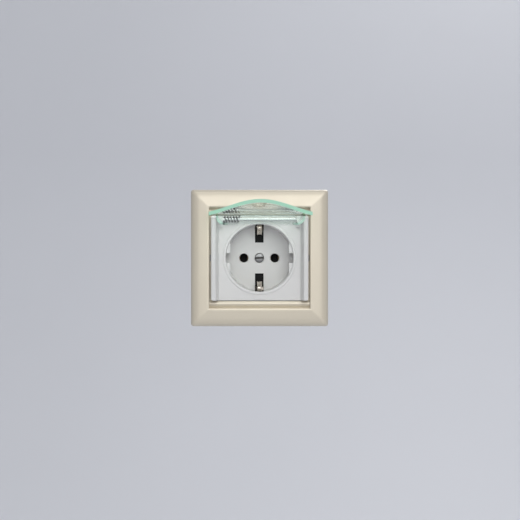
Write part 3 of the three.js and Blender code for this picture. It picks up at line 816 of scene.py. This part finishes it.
def lid():
    z = (-SKIRT_END, -SKIRT_START)
    under = prism(skirt_outline(0), z[0], z[1], "Z")
    hollow = (z[0] + SKIRT_WALL, z[1] - SKIRT_WALL)
    cut(under, prism(skirt_outline(SKIRT_WALL), hollow[0], hollow[1], "Z"))
    cut(under, block((-SKIRT_LIP, SKIRT_LIP), (-LID_OFFSET, SKIRT_DEPTH), hollow))
    barrel = rod_along_x(BARREL_RADIUS, BARREL_REACH, 0, 0)
    web = block(BARREL_REACH, (-LID_OFFSET - 0.4, 0), (-1.6, 1.6))
    join(under, barrel, web)
    cut(under, above_sheet())
    body = join(lid_sheet(), under)
    cut(body, rod_along_x(HINGE_BORE, (-40, 40), 0, 0))
    hinge = Matrix.Translation(Vector((0, HINGE_Y, HINGE_Z)) * MM)
    opened = hinge @ Matrix.Rotation(-LID_OPEN, 4, "X")
    body.data.transform(opened)
    soften(body, 0.35, 3, 40, 0.02, curved=True)
    apply_modifiers(body)
    piece(body, "lid_moulding", GREEN, "lid", "lid")
    body.data.materials.append(GREEN_EDGE_PAINTED_LIGHT)
    # Faces along the free edge and the sides take the edge material, whose extra green is painted
    # light.
    outward = (opened.to_3x3() @ Vector((0, 0, -1))).normalized()
    edge = (opened @ Vector((0, 0, (-LID_LENGTH + 0.6) * MM))).dot(outward)
    side = (LID_HALF_WIDTH - 0.1) * MM
    for face in body.data.polygons:
        if face.center.dot(outward) > edge or abs(face.center.x) > side:
            face.material_index = 1
    return body


def lid_spring():
    """A closed-wound torsion spring round the hinge pin, with a leg on the cover and one on the lid."""
    wire = 0.46
    mean = 1.62
    left, right = SPRING_LOW.x + 0.5, SPRING_HIGH.x - 0.5
    turns = 5.25
    steps = 28
    path = [(left - 0.05, HINGE_Y + 2.3, HINGE_Z - 2.4), (left, HINGE_Y + 1.8, HINGE_Z - 1.2)]
    count = int(turns * steps)
    for i in range(count + 1):
        angle = 2 * math.pi * i / steps
        x = left + (right - left) * i / count
        path.append((x, HINGE_Y + mean * math.cos(angle), HINGE_Z + mean * math.sin(angle)))
    path += [(right, HINGE_Y - 1.6, HINGE_Z + 1.75), (right, HINGE_Y - 3.6, HINGE_Z + 1.9)]
    body = tube(path, wire, 12)
    body.data.polygons.foreach_set("use_smooth", [True] * len(body.data.polygons))
    piece(body, "lid_torsion_spring", SPRING_STEEL, None, "lid_spring")
    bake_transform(body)
    return body


def hinge_pin():
    radius = (PIN_HIGH.z - PIN_LOW.z) / 2
    body = rod_along_x(radius, (PIN_LOW.x, PIN_HIGH.x), HINGE_Y, HINGE_Z, 64)
    soften(body, 0.2, 3, 40)
    return piece(body, "hinge_pin_rod", PIN_STEEL, "socket", "hinge_pin")


# ---------------------------------------------------------------- screws and claw springs


def threaded(radius, depth, pitch, y, x, z, segments=36):
    """A rod along Y with a rounded screw thread wound round it, tapered off at both ends."""
    rows = math.ceil((y[1] - y[0]) / pitch * 6)
    loops = []
    for row in range(rows + 1):
        along = y[0] + (y[1] - y[0]) * row / rows
        fade = min(1.0, row / 6, (rows - row) / 6)
        loop = []
        for i in range(segments):
            turn = i / segments
            groove = (1 + math.cos(2 * math.pi * (along / pitch - turn))) / 2
            r = radius - depth * groove * fade - 0.25 * (1 - min(1.0, (rows - row) / 4))
            angle = 2 * math.pi * turn
            loop.append((x + r * math.cos(angle), along, z + r * math.sin(angle)))
        loops.append(loop)
    points = [p for loop in loops for p in loop]
    faces = [list(range(segments)), list(range(rows * segments, (rows + 1) * segments))]
    for row in range(rows):
        for i in range(segments):
            j = (i + 1) % segments
            a, b = row * segments, (row + 1) * segments
            faces.append([a + i, a + j, b + j, b + i])
    return as_object("thread", points, faces)


def shade_smooth(obj, sharp_angle):
    """Smooth shading with a hard edge wherever faces meet more sharply than the angle."""
    work = bmesh.new()
    work.from_mesh(obj.data)
    for face in work.faces:
        face.smooth = True
    for edge in work.edges:
        if edge.calc_face_angle(0) > math.radians(sharp_angle):
            edge.smooth = False
    work.to_mesh(obj.data)
    work.free()


def slotted_screw(node, name, body, shank_radius, pitch, slot_width, slot_angle):
    """A screw with a domed, slotted head and a threaded shank, filling its CAD node's box."""
    low, high = cad_mm(node)
    x, z = (low.x + high.x) / 2, (low.z + high.z) / 2
    radius = (high.x - low.x) / 2
    front = low.y
    back = front + SCREW_HEAD_DEPTHS[round(radius, 2)]
    dome = 0.35
    profile = [(0, back), (0, front)]
    for step in range(1, 7):
        share = step / 6
        profile.append((radius * 0.9 * share, front + dome * 0.6 * share**2.4))
    profile += [
        (radius * 0.965, front + dome * 0.85),
        (radius, front + dome * 1.35),
        (radius, back - 0.08),
        (radius - 0.08, back),
    ]
    head = lathe(profile, 96, x, z)
    reach, half = radius * 1.5, slot_width / 2
    slot = block((-reach, reach), (front - 1, front + 0.85), (-half, half))
    slot.data.transform(Matrix.Translation(Vector((x, 0, z)) * MM))
    cut(head, turned_about_y(slot, slot_angle, x, z))
    soften(head, 0.07, 2, 35)
    apply_modifiers(head)
    join(head, threaded(shank_radius, 0.22, pitch, (back - 0.2, high.y), x, z))
    shade_smooth(head, 38)
    return piece(head, name, zinc_steel(f"{name} steel", 0.25, front + 0.8), body, node)


def claw_spring(side):
    """A small compression spring between the mounting plate and the claw's tab."""
    sign = SIDES[side]
    low, high = cad_mm(f"claw_spring_{side}")
    wire = 0.28
    mean = (high.x - low.x) / 2 - wire
    centre = (low.x + high.x) / 2
    bottom, top = low.y + wire, high.y - wire
    turns, steps = 6.5, 24
    count = int(turns * steps)
    path = []
    for i in range(count + 1):
        share = i / count
        # The end turns lie closer together than the working turns.
        rise = share - 0.045 * math.sin(2 * math.pi * share)
        angle = sign * 2 * math.pi * turns * share
        along = bottom + (top - bottom) * rise
        path.append((centre + mean * math.cos(angle), along, mean * math.sin(angle)))
    body = tube(path, wire, 10)
    body.data.polygons.foreach_set("use_smooth", [True] * len(body.data.polygons))
    piece(body, f"claw_{side}_spring", SPRING_STEEL, "socket", f"claw_spring_{side}")
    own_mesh(body)


def all_screws():
    slotted_screw("cover_screw", "cover_fixing_screw", "socket", 1.6, 0.7, 1.25, -0.08)
    for i, terminal in enumerate(TERMINALS):
        node = f"terminal_screw_{terminal}"
        slotted_screw(node, f"{terminal}_terminal_screw", node, 1.6, 0.7, 0.8, 0.6 + i)
    for side, sign in SIDES.items():
        node = f"claw_screw_{side}"
        slotted_screw(node, f"{side}_claw_screw", node, 1.42, 0.7, 0.8, 0.4 * sign)


# ---------------------------------------------------------------- earth bracket


def crowned_strip(path, half_width, thickness, crown, columns=10):
    """A sheet metal strip along a path in the YZ plane, arched across its width."""
    points, faces = [], []
    count = columns + 1
    for i, point in enumerate(path):
        along = (path[min(i + 1, len(path) - 1)] - path[max(i - 1, 0)]).normalized()
        normal = Vector((0, -along.z, along.y))
        for face in (1, -1):
            for column in range(count):
                across = face * (2 * column / columns - 1)
                lift = face * thickness / 2 + crown * (1 - across**2)
                side = point + normal * lift
                points.append((half_width * across, side.y, side.z))
    loop = 2 * count
    for i in range(len(path) - 1):
        for j in range(loop):
            k = (j + 1) % loop
            faces.append([i * loop + j, i * loop + k, (i + 1) * loop + k, (i + 1) * loop + j])
    for start in (0, (len(path) - 1) * loop):
        for column in range(columns):
            a, b = start + column, start + loop - 1 - column
            faces.append([a, a + 1, b - 1, b])
    return as_object("strip", points, faces)


def earth_bracket():
    """The strip across the contact block, its two sprung earth clips, and the tab to its terminal."""
    front, back = 14.6, 15.4
    bend = [
        (back - 0.1, 19.9),
        (2, 20.05),
        (-2.6, 20.0),
        (-3.7, 19.3),
        (-4.0, 18.2),
        (-3.3, 17.2),
        (0.5, 15.6),
        (3.6, 14.5),
        (5.6, 14.9),
        (7, 16),
    ]
    low, high = cad_mm("terminal_screw_earth")
    x, z = (low.x + high.x) / 2, (low.z + high.z) / 2
    path = smooth_path([(0, y, z) for y, z in bend], 6)
    arm = crowned_strip(path, 1.45, 0.7, 0.28)
    tab = prism([(3.8, 8), (16.5, 14.5), (20, 17), (16, 20), (13.5, 17.5), (3.8, 14)], front, back)
    body = block((-4, 4), (front, back), (-20.3, 20.3))
    join(body, tab, rod(2.9, (front, back), x, z))
    cut(body, rod(2, (front - 1, back + 1), x, z), rod(2.3, (front - 1, back + 1)))
    soften(body, 0.12, 2, 35)
    apply_modifiers(body)
    join(body, mirrored(arm, 2), arm)
    shade_smooth(body, 38)
    return piece(body, "earth_clip_bracket", NICKEL, "socket", "earth_bracket")


# ---------------------------------------------------------------- the rest, from the frame

FINISHES = {
    "mounting_plate": (ZINC, 0.12),
    "contact_base": (BLACK, 0.3),
    "contact_retainer": (WELL_BLACK, 0.2),
    "live_contact": (BRASS, 0.1),
    "neutral_contact": (BRASS, 0.1),
    "centre_nut": (BRASS, 0.2),
    "claw_left": (ZINC, 0.12),
    "claw_right": (ZINC, 0.12),
}
for terminal in TERMINALS:
    FINISHES[f"terminal_clamp_{terminal}"] = (ZINC, 0.15)
for number in range(1, 5):
    FINISHES[f"plate_rivet_{number}"] = (ZINC, 0.12)


def finish_cad_node(name, material, width):
    node = frame["nodes"][name]
    node.data.materials.clear()
    node.data.materials.append(material)
    soften(node, width, 2, 30)


# ---------------------------------------------------------------- stage


def area_light(name, place, size, power, color=(1, 1, 1)):
    """A rectangular light that faces the origin."""
    data = bpy.data.lights.new(name, "AREA")
    data.shape = "RECTANGLE"
    data.size, data.size_y = size
    data.energy = power
    data.color = color
    light = bpy.data.objects.new(name, data)
    light.location = place
    light.rotation_euler = (-Vector(place)).to_track_quat("-Z", "Y").to_euler()
    SCENE.collection.objects.link(light)


def backdrop():
    """A pale floor that curves up into a wall, well clear of the object."""
    half_width = 3.0
    floor_z = -0.45
    near, far, top = -2.6, 1.4, 2.4
    radius = 0.6
    profile = [(near, floor_z)]
    for step in range(17):
        angle = math.pi / 2 * step / 16
        y = far - radius + radius * math.sin(angle)
        profile.append((y, floor_z + radius - radius * math.cos(angle)))
    profile.append((far, top))
    points = [(x / MM, y / MM, z / MM) for x in (-half_width, half_width) for y, z in profile]
    count = len(profile)
    faces = [[i, i + 1, count + i + 1, count + i] for i in range(count - 1)]
    body = as_object("backdrop", points, faces)
    body.data.polygons.foreach_set("use_smooth", [True] * len(body.data.polygons))
    made = Surface("pale backdrop", "", (0.69, 0.70, 0.735), 0.8)
    made.vary_color(made.noise(3, 4), (0.66, 0.67, 0.705), 0.6)
    body.data.materials.append(made.material)


def camera():
    data = bpy.data.cameras.new("camera")
    data.lens = 113.5
    data.sensor_width = 36
    obj = bpy.data.objects.new("camera", data)
    obj.location = (-0.012, -1.0, 0.0)
    aim = Vector((0.0003, 0.0, -0.00122))
    obj.rotation_euler = (aim - obj.location).to_track_quat("-Z", "Y").to_euler()
    SCENE.collection.objects.link(obj)
    SCENE.camera = obj


def lights():
    world = bpy.data.worlds.new("studio")
    world.use_nodes = True
    world.node_tree.nodes["Background"].inputs["Color"].default_value = (0.93, 0.95, 1.0, 1)
    world.node_tree.nodes["Background"].inputs["Strength"].default_value = 0.45
    SCENE.world = world
    area_light("key", (0.32, -1.3, 0.95), (0.7, 0.7), 5.0, (1.0, 0.985, 0.965))
    area_light("fill", (0.12, -1.9, 0.42), (1.6, 0.7), 10.0)
    area_light("top", (0.15, -0.4, 1.4), (0.8, 0.5), 2.0)
    area_light("back", (0.5, 1.15, 0.9), (0.8, 0.8), 9)
    SCENE.view_settings.view_transform = "Standard"


# ---------------------------------------------------------------- build

camera()
lights()
backdrop()
bezel_frame()
socket_cover()
lid()
lid_spring()
hinge_pin()
all_screws()
earth_bracket()
for side_name in SIDES:
    claw_spring(side_name)
for node_name, (finish, edge_width) in FINISHES.items():
    finish_cad_node(node_name, finish, edge_width)
